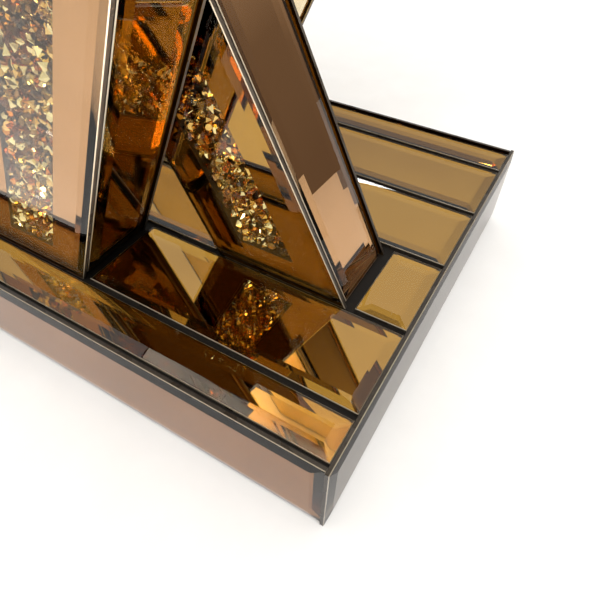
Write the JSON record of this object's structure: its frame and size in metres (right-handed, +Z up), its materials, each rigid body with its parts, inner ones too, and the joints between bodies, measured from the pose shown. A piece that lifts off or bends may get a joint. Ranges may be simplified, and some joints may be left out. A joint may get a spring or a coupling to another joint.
{
  "type": "wedding card box",
  "caption": "Amber mirrored card box with a hinged, slotted lid, carried on crossed crystal-filled planks over a tiled mirror plinth.",
  "frame": {"origin": "middle of the plinth's footprint, on the surface that the pads stand on", "axes": "+Z up, -Y towards the front of the box, +X to the right seen from the front"},
  "size_m": [0.264, 0.255, 0.4785],
  "materials": {
    "amber_mirror": "polished amber mirror glass with bevelled edges",
    "crushed_crystal": "pointed cut stones of amber and clear glass",
    "board": "fibreboard with a thin champagne lacquer",
    "brass": "polished brass",
    "bolt_steel": "zinc plated steel",
    "felt": "brown felt",
    "rubber_pad": "matt black rubber"
  },
  "bodies": {
    "base": {"box_crystals": "crushed_crystal", "box_floor": "board", "box_front_mirror": "amber_mirror", "box_front_wall": "board", "box_left_mirror": "amber_mirror", "box_left_wall": "board", "box_lining": "felt", "box_rear_mirror": "amber_mirror", "box_rear_wall": "board", "box_right_mirror": "amber_mirror", "box_right_wall": "board", "hinge_box_leaves": "brass", "hinge_pins": "brass", "plank_a_core": "board", "plank_a_crystals": "crushed_crystal", "plank_a_front_mirror": "amber_mirror", "plank_a_left_mirror": "amber_mirror", "plank_a_rear_mirror": "amber_mirror", "plank_a_right_mirror": "amber_mirror", "plank_b_core": "board", "plank_b_crystals": "crushed_crystal", "plank_b_front_mirror": "amber_mirror", "plank_b_left_mirror": "amber_mirror", "plank_b_rear_mirror": "amber_mirror", "plank_b_right_mirror": "amber_mirror", "plank_bolts": "bolt_steel", "plank_c_core": "board", "plank_c_crystals": "crushed_crystal", "plank_c_front_mirror": "amber_mirror", "plank_c_left_mirror": "amber_mirror", "plank_c_rear_mirror": "amber_mirror", "plank_c_right_mirror": "amber_mirror", "plinth_base_board": "board", "plinth_deck": "board", "plinth_front_mirror": "amber_mirror", "plinth_front_rail": "board", "plinth_left_mirror": "amber_mirror", "plinth_left_rail": "board", "plinth_pads": "rubber_pad", "plinth_rear_mirror": "amber_mirror", "plinth_rear_rail": "board", "plinth_right_mirror": "amber_mirror", "plinth_right_rail": "board", "tile_row_1": "amber_mirror", "tile_row_2_left": "amber_mirror", "tile_row_2_right": "amber_mirror", "tile_row_3_left": "amber_mirror", "tile_row_3_right": "amber_mirror", "tile_row_4_left": "amber_mirror", "tile_row_4_right": "amber_mirror", "tile_row_5": "amber_mirror", "tile_row_6": "amber_mirror"},
    "lid": {"lid_board": "board", "lid_top_mirror": "amber_mirror", "lid_front_mirror": "amber_mirror", "lid_left_mirror": "amber_mirror", "lid_right_mirror": "amber_mirror", "slot_trim": "brass", "hinge_lid_leaves": "brass", "lid_knob": "brass"}
  },
  "joints": [
    {"name": "lid_hinge", "type": "hinge", "parent": "base", "child": "lid", "pos_m": [0, 0.0603, 0.46215], "axis": [-1, 0, 0], "range_deg": [0, 100]}
  ]
}
